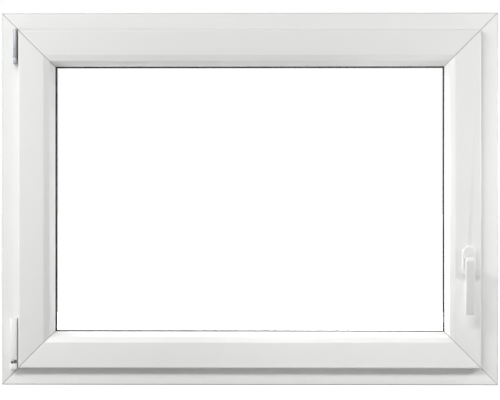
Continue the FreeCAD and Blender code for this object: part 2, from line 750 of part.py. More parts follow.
def hollow_cap(label, foot, tall, side, wide, back, rounding):
    """A cover with the given wall, open at its foot and at its back."""
    body = hinge_block(label, foot, tall, side, wide, back, rounding)
    hollow = new_sketch(body, "Hollow", "XY_Plane")
    add_hinge_outline(hollow, side, wide, f"{back} + {PAST}", size("cap_wall"), rounding)
    pocket(body, hollow, f"{tall} - {size('cap_wall')}", "Hollow_cut", reverse=True)
    return body


def bore_up(body, name, offset, radius, deep):
    """A round bore for the hinge pin, upwards from the given height in the body."""
    sketch = sketch_at(body, name, "XY_Plane", offset)
    add_circle(sketch, "pin", AXIS_X, AXIS_Y, radius)
    return pocket(body, sketch, deep, f"{name}_cut", reverse=True)


def upright_pin(label, foot, tall, radius):
    body = new_body(label, AXIS_X, AXIS_Y, foot)
    sketch = new_sketch(body, "Round", "XY_Plane")
    add_circle(sketch, "pin", "0", "0", radius)
    pad(body, sketch, tall, "Length")
    return body


def leaf(body, tall):
    """The leaf that runs from a hinge block behind the lap of the sash."""
    sketch = new_sketch(body, "Leaf", "XY_Plane")
    reach = f"{SASH_EDGE} + {size('leaf_lap')}"
    add_loop(sketch, "leaf", rectangle(AXIS_X, LAP_BACK, reach, LEAF_BACK))
    pad(body, sketch, tall, "Leaf_height")


# Upper hinge
INSIDE = f"({size('cap_wall')} + {size('cap_fit')})"
TOP_WIDE = size("top_hinge_wide")
TOP_UP = f"({HEIGHT} - {size('top_hinge_down')})"
TOP_TALL = size("top_hinge_tall")
TOP_ROUND = size("top_hinge_round")
PIN_RADIUS = f"({size('hinge_pin_wide')} / 2)"
PIN_BORE = f"({PIN_RADIUS} + {size('hinge_fit')})"
BORE_END = size("bore_end")
BRACKET_TALL = f"({TOP_TALL} - {INSIDE})"
bracket = hinge_block(
    "top_hinge_bracket", TOP_UP, BRACKET_TALL, TOP_SIDE, TOP_WIDE, ROOM, TOP_ROUND, INSIDE
)
bore_up(bracket, "Pin_bore", "0", PIN_BORE, f"{BRACKET_TALL} - {BORE_END}")
hollow_cap("top_hinge_cap", TOP_UP, TOP_TALL, TOP_SIDE, TOP_WIDE, COVER_FACE, TOP_ROUND)
KNUCKLE_TALL = size("top_knuckle_tall")
KNUCKLE_FOOT = f"({TOP_UP} - {size('knuckle_gap')} - {KNUCKLE_TALL})"
knuckle = hinge_block(
    "top_hinge_knuckle", KNUCKLE_FOOT, KNUCKLE_TALL, TOP_SIDE, TOP_WIDE, LEAF_BACK, TOP_ROUND
)
leaf(knuckle, KNUCKLE_TALL)
gusset = sketch_at(knuckle, "Gusset", "XZ_Plane", f"-{AXIS_Y}")
gusset_end = f"({SASH_EDGE} - {size('knuckle_gap')})"
add_loop(gusset, "web", [(AXIS_X, "0"), (gusset_end, "0"), (TOP_SIDE, KNUCKLE_TALL), (AXIS_X, KNUCKLE_TALL)])
pad(knuckle, gusset, f"{LEAF_BACK} - {AXIS_Y}", "Gusset_depth", reverse=True)
bore_up(knuckle, "Pin_bore", BORE_END, PIN_BORE, KNUCKLE_TALL)
upright_pin(
    "top_hinge_pin",
    f"{KNUCKLE_FOOT} + {BORE_END}",
    f"{KNUCKLE_TALL} + {size('top_pin_reach')}",
    PIN_RADIUS,
)

# Lower hinge
LOW_WIDE = size("bottom_hinge_wide")
LOW_ROUND = size("bottom_hinge_round")
BEARING_UP = size("bottom_bearing_up")
BEARING_TALL = size("bottom_bearing_tall")
COVER_UP = size("bottom_cover_up")
COVER_TALL = size("bottom_cover_tall")
ARM_TALL = f"({COVER_TALL} - {INSIDE})"
bearing = hinge_block(
    "bottom_hinge_bearing", BEARING_UP, BEARING_TALL, LOW_SIDE, LOW_WIDE, ROOM, LOW_ROUND
)
bore_up(bearing, "Pin_bore", BORE_END, PIN_BORE, BEARING_TALL)
arm = hinge_block(
    "bottom_hinge_arm", COVER_UP, ARM_TALL, LOW_SIDE, LOW_WIDE, LEAF_BACK, LOW_ROUND, INSIDE
)
leaf(arm, ARM_TALL)
bore_up(arm, "Pin_bore", "0", PIN_BORE, size("bottom_pin_reach"))
hollow_cap(
    "bottom_hinge_cover", COVER_UP, COVER_TALL, LOW_SIDE, LOW_WIDE, LAP_BACK, LOW_ROUND
)
upright_pin(
    "bottom_hinge_pin",
    f"{BEARING_UP} + {BORE_END}",
    f"{COVER_UP} - {BEARING_UP} - {BORE_END} + {size('bottom_pin_reach')}",
    PIN_RADIUS,
)
SCREW_X = f"({LOW_SIDE} - {LOW_WIDE} + {size('screw_aside')})"
screw = new_body("bottom_hinge_screw", SCREW_X, AXIS_Y, f"{BEARING_UP} + {BEARING_TALL}")
screw_round = new_sketch(screw, "Head", "XY_Plane")
add_circle(screw_round, "head", "0", "0", f"{size('screw_wide')} / 2")
pad(screw, screw_round, size("screw_tall"), "Head_height")
key = sketch_at(screw, "Key_hole", "XY_Plane", size("screw_tall"))
add_circle(key, "key", "0", "0", f"{size('screw_key_wide')} / 2")
pocket(screw, key, size("screw_key_deep"), "Key_hole_cut")

# Check every object, then write each piece
doc.recompute()
for item in doc.Objects:
    if "Invalid" in item.State or "Error" in item.State:
        raise ValueError(f"{item.Label} did not recompute")
os.makedirs("parts", exist_ok=True)
for body in [item for item in doc.Objects if item.TypeId == "PartDesign::Body"]:
    if body.Shape.isNull() or not body.Shape.isValid() or not body.Shape.Solids:
        raise ValueError(f"{body.Label} has no good solid")
    body.Shape.exportStep(f"parts/{body.Label}.step")
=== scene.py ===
import json
import math

import bmesh
import bpy
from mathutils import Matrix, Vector


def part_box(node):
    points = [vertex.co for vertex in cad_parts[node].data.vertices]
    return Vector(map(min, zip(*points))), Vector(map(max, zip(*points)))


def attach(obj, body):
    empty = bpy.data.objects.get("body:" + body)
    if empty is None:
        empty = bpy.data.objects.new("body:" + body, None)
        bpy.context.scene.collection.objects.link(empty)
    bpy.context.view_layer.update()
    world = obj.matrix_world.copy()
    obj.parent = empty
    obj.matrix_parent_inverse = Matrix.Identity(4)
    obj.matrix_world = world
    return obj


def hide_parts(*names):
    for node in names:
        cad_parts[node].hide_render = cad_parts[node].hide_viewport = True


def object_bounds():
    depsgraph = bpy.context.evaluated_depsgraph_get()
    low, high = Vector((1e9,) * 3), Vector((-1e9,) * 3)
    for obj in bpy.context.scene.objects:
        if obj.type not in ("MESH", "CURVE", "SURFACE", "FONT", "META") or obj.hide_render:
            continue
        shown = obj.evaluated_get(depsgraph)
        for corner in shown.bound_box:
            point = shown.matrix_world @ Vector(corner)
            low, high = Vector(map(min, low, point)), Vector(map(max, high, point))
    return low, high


bl_info = {
    "name": "Tilt and turn window",
    "version": (1, 0, 0),
    "blender": (4, 5, 0),
    "location": "View3D > Sidebar > Window",
    "description": "Finishes the pieces of a white plastic tilt and turn window",
    "category": "Object",
}

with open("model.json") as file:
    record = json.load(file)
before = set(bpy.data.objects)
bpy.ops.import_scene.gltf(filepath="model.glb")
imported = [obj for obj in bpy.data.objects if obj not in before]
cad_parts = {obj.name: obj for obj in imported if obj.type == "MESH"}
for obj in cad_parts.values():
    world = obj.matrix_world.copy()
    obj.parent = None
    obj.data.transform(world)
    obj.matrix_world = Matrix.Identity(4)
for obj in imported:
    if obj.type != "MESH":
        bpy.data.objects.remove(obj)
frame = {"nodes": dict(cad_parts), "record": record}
CAD_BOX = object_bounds()
NODES = frame["nodes"]
BODY_OF = {node: body for body, nodes in frame["record"]["behaviour"]["bodies"].items() for node in nodes}
MM = 0.001


# Colours
def linear(hex_code):
    """An sRGB hex value as the linear colour that Blender's sockets take."""
    channels = [int(hex_code[place : place + 2], 16) / 255 for place in (0, 2, 4)]
    bent = [c / 12.92 if c <= 0.04045 else ((c + 0.055) / 1.055) ** 2.4 for c in channels]
    return (*bent, 1.0)


def colour(name, description, hex_code):
    return bpy.props.FloatVectorProperty(
        name=name,
        description=description,
        subtype="COLOR",
        size=4,
        min=0,
        max=1,
        default=linear(hex_code),
    )


def length(name, description, millimetres):
    return bpy.props.FloatProperty(
        name=name,
        description=description,
        default=millimetres * MM,
        min=0,
        subtype="DISTANCE",
        unit="LENGTH",
    )


class WindowFinish(bpy.types.PropertyGroup):
    """Colours of the window's materials"""

    frame: colour("Frame", "Extruded white plastic of the outer frame", "F5F5F3")
    sash: colour("Sash", "Extruded white plastic of the sash and its beads, a shade greyer", "EFEFED")
    # painted shade on the round of the frame's outer edge
    painted_edge_shade: colour("Rim", "Outermost edge of the frame, where its face rolls over to the side", "D8D8D6")
    # painted shade in the groove along each mitre
    seam: colour("Seams", "Dull groove that the cleaning knife leaves at a weld", "A8A8A5")
    cover: colour("Covers", "Moulded white plastic of the hinge covers and drain caps", "F3F3F2")
    handle: colour("Handle", "White powder coat of the handle, greyer than the profiles", "E7E7E5")
    rubber: colour("Gaskets", "Black rubber of the gaskets", "202123")
    spacer: colour("Spacer", "Bare aluminium between the panes", "D6D8DA")
    sealant: colour("Sealant", "Grey sealant round the edge of the glass unit", "55585B")
    steel: colour("Steel", "Zinc plated steel of the hinge parts", "E4E6E8")
    hinge_cap: colour("Hinge cap", "Satin grey cap and knuckle of the upper hinge", "AEB0B3")
    # painted shade: the lower hinge's pin and screw are toned dark for the shade under its cover
    painted_shade_steel: colour("Dark steel", "Shade_darkened steel of the lower hinge's pin and screw", "5E6063")


class WindowEdges(bpy.types.PropertyGroup):
    """Small rounds left by the tools that shaped the pieces"""

    profile_round: length("Profile edges", "Round of the corners of an extruded profile", 0.4)
    moulding_round: length("Moulded edges", "Round of the edges of a moulded cover", 0.35)
    steel_round: length("Steel edges", "Round of the edges of a plated steel part", 0.15)


class GasketLips(bpy.types.PropertyGroup):
    """Soft lip with which a glazing gasket lies on the glass"""

    reach: length("Reach", "How far the lip comes out from under the gasket onto the glass", 1.2)
    tall: length("Height", "Height of the lip off the glass", 1.1)
    bends: bpy.props.IntProperty(name="Bends", description="Flats that make up the round of the lip", default=6, min=2)


class SpacerHoles(bpy.types.PropertyGroup):
    """Perforations along the face of the spacer bar that looks into the glass unit"""

    spacing: length("Spacing", "Distance from one perforation to the next", 4)
    long: length("Length", "Length of a perforation along the bar", 1.4)
    wide: length("Width", "Width of a perforation across the bar", 0.5)
    thick: length("Thickness", "Thickness of the dark slit, half of it sunk in the bar", 0.1)
    rows: bpy.props.IntProperty(name="Rows", description="Rows of perforations side by side", default=2, min=1)
    row_gap: length("Row distance", "Distance between the two rows", 5)


class WindowStage(bpy.types.PropertyGroup):
    """Place and view of the camera"""

    distance: bpy.props.FloatProperty(
        name="Camera distance",
        description="From the camera to the front of the outer frame",
        default=4.9,
        min=1,
        unit="LENGTH",
    )
    to_the_right: bpy.props.FloatProperty(
        name="Camera to the right",
        description="How far the camera stands to the right of the window's middle",
        default=0.1,
        unit="LENGTH",
    )
    view_wide: bpy.props.FloatProperty(
        name="View width",
        description="Width that the picture shows at the front of the outer frame",
        default=1.0072,
        min=0.1,
        unit="LENGTH",
    )


# Materials
# how much of the white is left where the titanium white settled least
UNEVEN_WHITE = 0.98
# how bright zinc plating still is where its skin has clouded
CLOUDED_STEEL = 0.85


def add_node(tree, kind, sockets=None, **settings):
    """A new node of the given kind. A socket takes a value, or another node's output as a link."""
    made = tree.nodes.new(kind)
    for name, value in settings.items():
        setattr(made, name, value)
    for name, value in (sockets or {}).items():
        if isinstance(value, bpy.types.NodeSocket):
            tree.links.new(value, made.inputs[name])
        else:
            made.inputs[name].default_value = value
    return made


def new_material(name):
    material = bpy.data.materials.new(name)
    material.use_nodes = True
    material.node_tree.nodes.clear()
    return material, material.node_tree


def darker(tone, share):
    """The tone with only a share of its brightness left."""
    return (*(share * channel for channel in tone[:3]), 1.0)


def show(tree, shader):
    add_node(tree, "ShaderNodeOutputMaterial", {"Surface": shader})


def per(millimetres):
    """The scale at which a texture's pattern repeats over the given real size."""
    return 1 / (millimetres * MM)


def inwards_of_outline(tree, coordinates):
    """How far a point lies in from the nearer side edge of the window, and from the nearer of top and bottom."""
    low, high = CAD_BOX
    middle = (low + high) / 2
    place = add_node(tree, "ShaderNodeSeparateXYZ", {"Vector": coordinates}).outputs
    inwards = []
    for axis, at_middle, half in (("X", middle.x, high.x - middle.x), ("Z", middle.z, high.z - middle.z)):
        at = add_node(tree, "ShaderNodeMath", {0: place[axis], 1: at_middle}, operation="SUBTRACT")
        out = add_node(tree, "ShaderNodeMath", {0: at.outputs[0]}, operation="ABSOLUTE")
        inwards.append(add_node(tree, "ShaderNodeMath", {0: half, 1: out.outputs[0]}, operation="SUBTRACT").outputs[0])
    return inwards


def extruded_upvc(name, along, white):
    """Unplasticised PVC pushed through a polished die: a satin shine with faint lines along the profile."""
    material, tree = new_material(name)
    coordinates = add_node(tree, "ShaderNodeTexCoord").outputs["Object"]
    # the die draws lines about 1.5 mm apart that run on for half a metre
    drawn = [per(1.5)] * 3
    drawn["XYZ".index(along)] = per(500)
    lines_at = add_node(tree, "ShaderNodeMapping", {"Vector": coordinates, "Scale": drawn})
    lines = add_node(tree, "ShaderNodeTexNoise", {"Vector": lines_at.outputs[0], "Scale": 1.0, "Detail": 2.0})
    # cooling leaves the wall slightly wavy, over about 90 mm
    waves = add_node(tree, "ShaderNodeTexNoise", {"Vector": coordinates, "Scale": per(90), "Detail": 0.0})
    # wiping with a cloth leaves the shine a little uneven, over about 40 mm
    wiped = add_node(tree, "ShaderNodeTexNoise", {"Vector": coordinates, "Scale": per(40), "Detail": 3.0})
    shine = add_node(
        tree,
        "ShaderNodeMapRange",
        {"Value": wiped.outputs["Fac"], "From Min": 0.0, "From Max": 1.0, "To Min": 0.29, "To Max": 0.40},
    )
    # titanium white settles a touch unevenly in the melt
    tint = add_node(
        tree,
        "ShaderNodeMix",
        {
            "Factor": wiped.outputs["Fac"],
            "A": tuple(white),
            "B": darker(white, UNEVEN_WHITE),
        },
        data_type="RGBA",
    )
    # painted shade: the outermost 3 mm, where the frame's face rolls over to its sides, are painted greyer than the
    # face, as that round looks in shade
    sideways, upwards = inwards_of_outline(tree, coordinates)
    nearest = add_node(tree, "ShaderNodeMath", {0: sideways, 1: upwards}, operation="MINIMUM")
    within = add_node(
        tree,
        "ShaderNodeMapRange",
        {"Value": nearest.outputs[0], "From Min": 1.6 * MM, "From Max": 3.0 * MM},
    )
    edge_shaded = add_node(
        tree,
        "ShaderNodeMix",
        {
            "Factor": within.outputs[0],
            "A": tuple(bpy.context.scene.window_finish.painted_edge_shade),
            "B": tint.outputs["Result"],
        },
        data_type="RGBA",
    )
    # painted shade: along each mitre a line about 1 mm wide is painted dull grey, as the shade in the groove of a
    # cleaned weld looks
    apart = add_node(tree, "ShaderNodeMath", {0: sideways, 1: upwards}, operation="SUBTRACT")
    off_mitre = add_node(tree, "ShaderNodeMath", {0: apart.outputs[0]}, operation="ABSOLUTE")
    beside = add_node(
        tree,
        "ShaderNodeMapRange",
        {"Value": off_mitre.outputs[0], "From Min": 0.6 * MM, "From Max": 1.1 * MM},
    )
    seam_shaded = add_node(
        tree,
        "ShaderNodeMix",
        {
            "Factor": beside.outputs[0],
            "A": tuple(bpy.context.scene.window_finish.seam),
            "B": edge_shaded.outputs["Result"],
        },
        data_type="RGBA",
    )
    fine = add_node(
        tree,
        "ShaderNodeBump",
        {"Height": lines.outputs["Fac"], "Distance": 0.006 * MM, "Strength": 0.5},
    )
    wavy = add_node(
        tree,
        "ShaderNodeBump",
        {"Height": waves.outputs["Fac"], "Distance": 0.15 * MM, "Strength": 0.5, "Normal": fine.outputs[0]},
    )
    plastic = add_node(
        tree,
        "ShaderNodeBsdfPrincipled",
        {
            "Base Color": seam_shaded.outputs["Result"],
            "Roughness": shine.outputs[0],
            "IOR": 1.53,
            "Normal": wavy.outputs[0],
        },
    )
    show(tree, plastic.outputs[0])
    return material


def moulded_cover():
    """White polyamide moulded in a spark-eroded tool: even colour with a fine matt grain."""
    material, tree = new_material("moulded_white_polyamide")
    coordinates = add_node(tree, "ShaderNodeTexCoord").outputs["Object"]
    # the grain of the tool is about 0.3 mm
    grain = add_node(tree, "ShaderNodeTexNoise", {"Vector": coordinates, "Scale": per(0.3), "Detail": 2.0})
    flow = add_node(tree, "ShaderNodeTexNoise", {"Vector": coordinates, "Scale": per(12), "Detail": 3.0})
    shine = add_node(
        tree,
        "ShaderNodeMapRange",
        {"Value": flow.outputs["Fac"], "From Min": 0.0, "From Max": 1.0, "To Min": 0.31, "To Max": 0.42},
    )
    rough = add_node(
        tree,
        "ShaderNodeBump",
        {"Height": grain.outputs["Fac"], "Distance": 0.012 * MM, "Strength": 0.5},
    )
    plastic = add_node(
        tree,
        "ShaderNodeBsdfPrincipled",
        {
            "Base Color": tuple(bpy.context.scene.window_finish.cover),
            "Roughness": shine.outputs[0],
            "IOR": 1.53,
            "Normal": rough.outputs[0],
        },
    )
    show(tree, plastic.outputs[0])
    return material


def powder_coat():
    """Powder baked on cast aluminium: a smooth white skin with the soft ripple called orange peel."""
    material, tree = new_material("white_powder_coat")
    coordinates = add_node(tree, "ShaderNodeTexCoord").outputs["Object"]
    # the ripple is 1 to 2 mm across
    peel = add_node(tree, "ShaderNodeTexNoise", {"Vector": coordinates, "Scale": per(1.6), "Detail": 1.0})
    touch = add_node(tree, "ShaderNodeTexNoise", {"Vector": coordinates, "Scale": per(18), "Detail": 4.0})
    shine = add_node(
        tree,
        "ShaderNodeMapRange",
        {"Value": touch.outputs["Fac"], "From Min": 0.0, "From Max": 1.0, "To Min": 0.29, "To Max": 0.38},
    )
    ripple = add_node(
        tree,
        "ShaderNodeBump",
        {"Height": peel.outputs["Fac"], "Distance": 0.02 * MM, "Strength": 0.6},
    )
    powder = add_node(
        tree,
        "ShaderNodeBsdfPrincipled",
        {
            "Base Color": tuple(bpy.context.scene.window_finish.handle),
            "Roughness": shine.outputs[0],
            "IOR": 1.5,
            "Normal": ripple.outputs[0],
        },
    )
    show(tree, powder.outputs[0])
    return material


def gasket_rubber():
    """EPDM rubber extruded and cured: near black and matt, with a bloom of dust on it."""
    material, tree = new_material("extruded_epdm_rubber")
    coordinates = add_node(tree, "ShaderNodeTexCoord").outputs["Object"]
    # dust and bloom lie in patches of about 8 mm
    bloom = add_node(tree, "ShaderNodeTexNoise", {"Vector": coordinates, "Scale": per(8), "Detail": 5.0})
    amount = add_node(
        tree,
        "ShaderNodeMapRange",
        {"Value": bloom.outputs["Fac"], "From Min": 0.4, "From Max": 0.8, "To Min": 0.0, "To Max": 0.25},
    )
    tint = add_node(
        tree,
        "ShaderNodeMix",
        {
            "Factor": amount.outputs[0],
            "A": tuple(bpy.context.scene.window_finish.rubber),
            "B": linear("4A4B4C"),
        },
        data_type="RGBA",
    )
    skin = add_node(tree, "ShaderNodeTexNoise", {"Vector": coordinates, "Scale": per(0.6), "Detail": 2.0})
    rough = add_node(
        tree,
        "ShaderNodeBump",
        {"Height": skin.outputs["Fac"], "Distance": 0.03 * MM, "Strength": 0.6},
    )
    rubber = add_node(
        tree,
        "ShaderNodeBsdfPrincipled",
        {
            "Base Color": tint.outputs["Result"],
            "Roughness": 0.62,
            "IOR": 1.5,
            "Normal": rough.outputs[0],
        },
    )
    show(tree, rubber.outputs[0])
    return material


def float_glass():
    """Clear float glass, 4 mm thick: flat and smooth, with no tint that would show in so thin a pane."""
    material, tree = new_material("clear_float_glass")
    coordinates = add_node(tree, "ShaderNodeTexCoord").outputs["Object"]
    # drawing out on molten tin leaves waves a few hundred millimetres long
    draw = add_node(tree, "ShaderNodeTexNoise", {"Vector": coordinates, "Scale": per(300), "Detail": 0.0})
    wave = add_node(
        tree,
        "ShaderNodeBump",
        {"Height": draw.outputs["Fac"], "Distance": 0.02 * MM, "Strength": 0.5},
    )
    glass = add_node(
        tree,
        "ShaderNodeBsdfPrincipled",
        {
            "Base Color": linear("FFFFFF"),
            "Roughness": 0.0,
            "IOR": 1.52,
            "Transmission Weight": 1.0,
            "Normal": wave.outputs[0],
        },
    )
    # lamps shine through, as they do through a real pane
    path = add_node(tree, "ShaderNodeLightPath")
    clear = add_node(tree, "ShaderNodeBsdfTransparent", {"Color": linear("F8F8F8")})
    both = add_node(
        tree,
        "ShaderNodeMixShader",
        {0: path.outputs["Is Shadow Ray"], 1: glass.outputs[0], 2: clear.outputs[0]},
    )
    show(tree, both.outputs[0])
    return material


def spacer_aluminium():
    """Aluminium strip rolled into a tube: bare metal with rolling marks and a satin shine."""
    material, tree = new_material("rolled_aluminium")
    coordinates = add_node(tree, "ShaderNodeTexCoord").outputs["Object"]
    # rolling marks are about 0.8 mm across
    rolled = add_node(tree, "ShaderNodeTexNoise", {"Vector": coordinates, "Scale": per(0.8), "Detail": 3.0})
    shine = add_node(
        tree,
        "ShaderNodeMapRange",
        {"Value": rolled.outputs["Fac"], "From Min": 0.3, "From Max": 0.7, "To Min": 0.30, "To Max": 0.45},
    )
    metal = add_node(
        tree,
        "ShaderNodeBsdfPrincipled",
        {
            "Base Color": tuple(bpy.context.scene.window_finish.spacer),
            "Metallic": 1.0,
            "Roughness": shine.outputs[0],
        },
    )
    show(tree, metal.outputs[0])
    return material


def hole_shade_slit():
    """Slits that stand for the holes punched in the spacer: painted shade of the hole, with the drying beads behind
    it.
    """
    material, tree = new_material("painted_hole_shade")
    coordinates = add_node(tree, "ShaderNodeTexCoord").outputs["Object"]
    # the beads are about 0.7 mm across
    beads = add_node(tree, "ShaderNodeTexVoronoi", {"Vector": coordinates, "Scale": per(0.7)})
    tint = add_node(
        tree,
        "ShaderNodeMix",
        {"Factor": beads.outputs["Distance"], "A": linear("5A5650"), "B": linear("1B1B1C")},
        data_type="RGBA",
    )
    dark = add_node(
        tree,
        "ShaderNodeBsdfPrincipled",
        {"Base Color": tint.outputs["Result"], "Roughness": 0.85},
    )
    show(tree, dark.outputs[0])
    return material


def edge_sealant():
    """Polysulphide sealant spread with a knife round the panes: dull grey and slightly uneven."""
    material, tree = new_material("spread_polysulphide_sealant")
    coordinates = add_node(tree, "ShaderNodeTexCoord").outputs["Object"]
    smear = add_node(tree, "ShaderNodeTexNoise", {"Vector": coordinates, "Scale": per(6), "Detail": 3.0})
    uneven = add_node(
        tree,
        "ShaderNodeBump",
        {"Height": smear.outputs["Fac"], "Distance": 0.2 * MM, "Strength": 0.7},
    )
    sealant = add_node(
        tree,
        "ShaderNodeBsdfPrincipled",
        {
            "Base Color": tuple(bpy.context.scene.window_finish.sealant),
            "Roughness": 0.55,
            "IOR": 1.6,
            "Normal": uneven.outputs[0],
        },
    )
    show(tree, sealant.outputs[0])
    return material


def plated_steel(name, tone):
    """Zinc plated or cast metal in the given tone, or steel darkened as painted shade: a satin shine broken by a
    cloudy skin.
    """
    material, tree = new_material(name)
    coordinates = add_node(tree, "ShaderNodeTexCoord").outputs["Object"]
    # the skin clouds over in patches of about 3 mm
    cloud = add_node(tree, "ShaderNodeTexNoise", {"Vector": coordinates, "Scale": per(3), "Detail": 4.0})
    tint = add_node(
        tree,
        "ShaderNodeMix",
        {
            "Factor": cloud.outputs["Fac"],
            "A": tuple(tone),
            "B": darker(tone, CLOUDED_STEEL),
        },
        data_type="RGBA",
    )
    shine = add_node(
        tree,
        "ShaderNodeMapRange",
        {"Value": cloud.outputs["Fac"], "From Min": 0.3, "From Max": 0.7, "To Min": 0.50, "To Max": 0.62},
    )
    metal = add_node(
        tree,
        "ShaderNodeBsdfPrincipled",
        {"Base Color": tint.outputs["Result"], "Metallic": 1.0, "Roughness": shine.outputs[0]},
    )
    show(tree, metal.outputs[0])
    return material


# Pieces
# corners of the CAD mesh closer than this are one point
SAME_POINT = 0.002 * MM
# triangles that lie within this angle are one flat face
FLAT_WITHIN = math.radians(0.5)
# an edge that turns by more than this is a sharp one
SHARP = math.radians(30)
# flats across the small round of an edge
ROUND_FLATS = 2


def in_scene(name, data):
    """A new object, with its data, linked to the scene."""
    made = bpy.data.objects.new(name, data)
    bpy.context.scene.collection.objects.link(made)
    return made


def smooth(mesh):
    """Shades the rounds smooth and keeps the sharp edges."""
    mesh.polygons.foreach_set("use_smooth", [True] * len(mesh.polygons))
    mesh.set_sharp_from_angle(angle=SHARP)


def plain(made):
    """Turns an object with modifiers into its finished mesh."""
    finished = bpy.data.meshes.new_from_object(made.evaluated_get(bpy.context.evaluated_depsgraph_get()))
    unfinished = made.data
    finished.name = made.name
    made.modifiers.clear()
    made.data = finished
    bpy.data.meshes.remove(unfinished)


def inner_height(node):
    """How far a ring such as the spacer bar reaches in from its outer edge."""
    low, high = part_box(node)
    middle = (low.z + high.z) / 2
    return max(vertex.co.z - low.z for vertex in NODES[node].data.vertices if vertex.co.z < middle)


def coat(node, material):
    """Gives a CAD node its material and leaves its mesh as it is."""
    mesh = NODES[node].data
    mesh.materials.clear()
    mesh.materials.append(material)


def ease(node, material, edge_round):
    """Puts a copy of a CAD node in its place, with the small rounds that the real piece has on its sharp edges."""
    form = bmesh.new()
    form.from_mesh(NODES[node].data)
    bmesh.ops.remove_doubles(form, verts=form.verts, dist=SAME_POINT)
    bmesh.ops.dissolve_limit(form, angle_limit=FLAT_WITHIN, verts=form.verts, edges=form.edges)
    mesh = bpy.data.meshes.new(f"{node}_eased")
    form.to_mesh(mesh)
    form.free()
    made = in_scene(f"{node}_eased", mesh)
    bevel = made.modifiers.new("Edge round", "BEVEL")
    bevel.width = edge_round
    bevel.segments = ROUND_FLATS
    bevel.limit_method = "ANGLE"
    bevel.angle_limit = SHARP
    plain(made)
    smooth(made.data)
    made.data.materials.append(material)
    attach(made, BODY_OF[node])
    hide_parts(node)


class WINDOW_OT_profiles(bpy.types.Operator):
    """Finish the extruded members of frame, sash and glazing beads"""

    bl_idname = "window.profiles"
    bl_label = "Frame, sash and beads"

    def execute(self, context):
        edge_round = context.scene.window_edges.profile_round
        finish = context.scene.window_finish
        sash_lying = ("sash_top_rail", "sash_bottom_rail", "glazing_bead_top", "glazing_bead_bottom")
        sash_upright = ("sash_hinge_stile", "sash_handle_stile", "glazing_bead_left", "glazing_bead_right")
        for name, along, white, nodes in (
            ("frame_lying", "X", finish.frame, ("frame_head", "frame_sill")),
            ("frame_upright", "Z", finish.frame, ("frame_jamb_left", "frame_jamb_right")),
            ("sash_lying", "X", finish.sash, sash_lying),
            ("sash_upright", "Z", finish.sash, sash_upright),
        ):
            material = extruded_upvc(f"extruded_upvc_{name}", along, white)
            for node in nodes:
                ease(node, material, edge_round)
        return {"FINISHED"}


def lay_lip(node, glass_face, outwards, lip, material):
    """Lays a lip of quarter round section, mitred at four corners, on the glass along a gasket's edge."""
    low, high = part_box(node)
    gasket_tall = inner_height(node)
    section = [(0.0, 0.0), (0.0, lip.tall)]
    for bend in range(1, lip.bends + 1):
        turn = math.pi / 2 * bend / lip.bends
        section.append((lip.reach * math.sin(turn), lip.tall * math.cos(turn)))
    form = bmesh.new()
    loops = []
    for over, rise in section:
        inset = gasket_tall + over
        depth = glass_face + outwards * rise
        corners = (
            (low.x + inset, low.z + inset),
            (high.x - inset, low.z + inset),
            (high.x - inset, high.z - inset),
            (low.x + inset, high.z - inset),
        )
        loops.append([form.verts.new((x, depth, z)) for x, z in corners])
    for here, there in zip(loops, loops[1:] + loops[:1]):
        for corner in range(4):
            beyond = (corner + 1) % 4
            form.faces.new((here[corner], here[beyond], there[beyond], there[corner]))
    bmesh.ops.recalc_face_normals(form, faces=form.faces)
    mesh = bpy.data.meshes.new(f"{node}_lip")
    form.to_mesh(mesh)
    form.free()
    smooth(mesh)
    mesh.materials.append(material)
    made = in_scene(f"{node}_lip", mesh)
    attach(made, BODY_OF[node])


class WINDOW_OT_gaskets(bpy.types.Operator):
    """Finish the rubber gaskets round the glass and round the sash"""

    bl_idname = "window.gaskets"
    bl_label = "Gaskets"

    def execute(self, context):
        rubber = gasket_rubber()
        for node in ("inner_glazing_gasket", "outer_glazing_gasket", "lap_gasket", "frame_gasket"):
            coat(node, rubber)
        lip = context.scene.gasket_lips
        lay_lip("inner_glazing_gasket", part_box("inner_pane")[0].y, -1, lip, rubber)
        lay_lip("outer_glazing_gasket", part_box("outer_pane")[1].y, 1, lip, rubber)
        return {"FINISHED"}


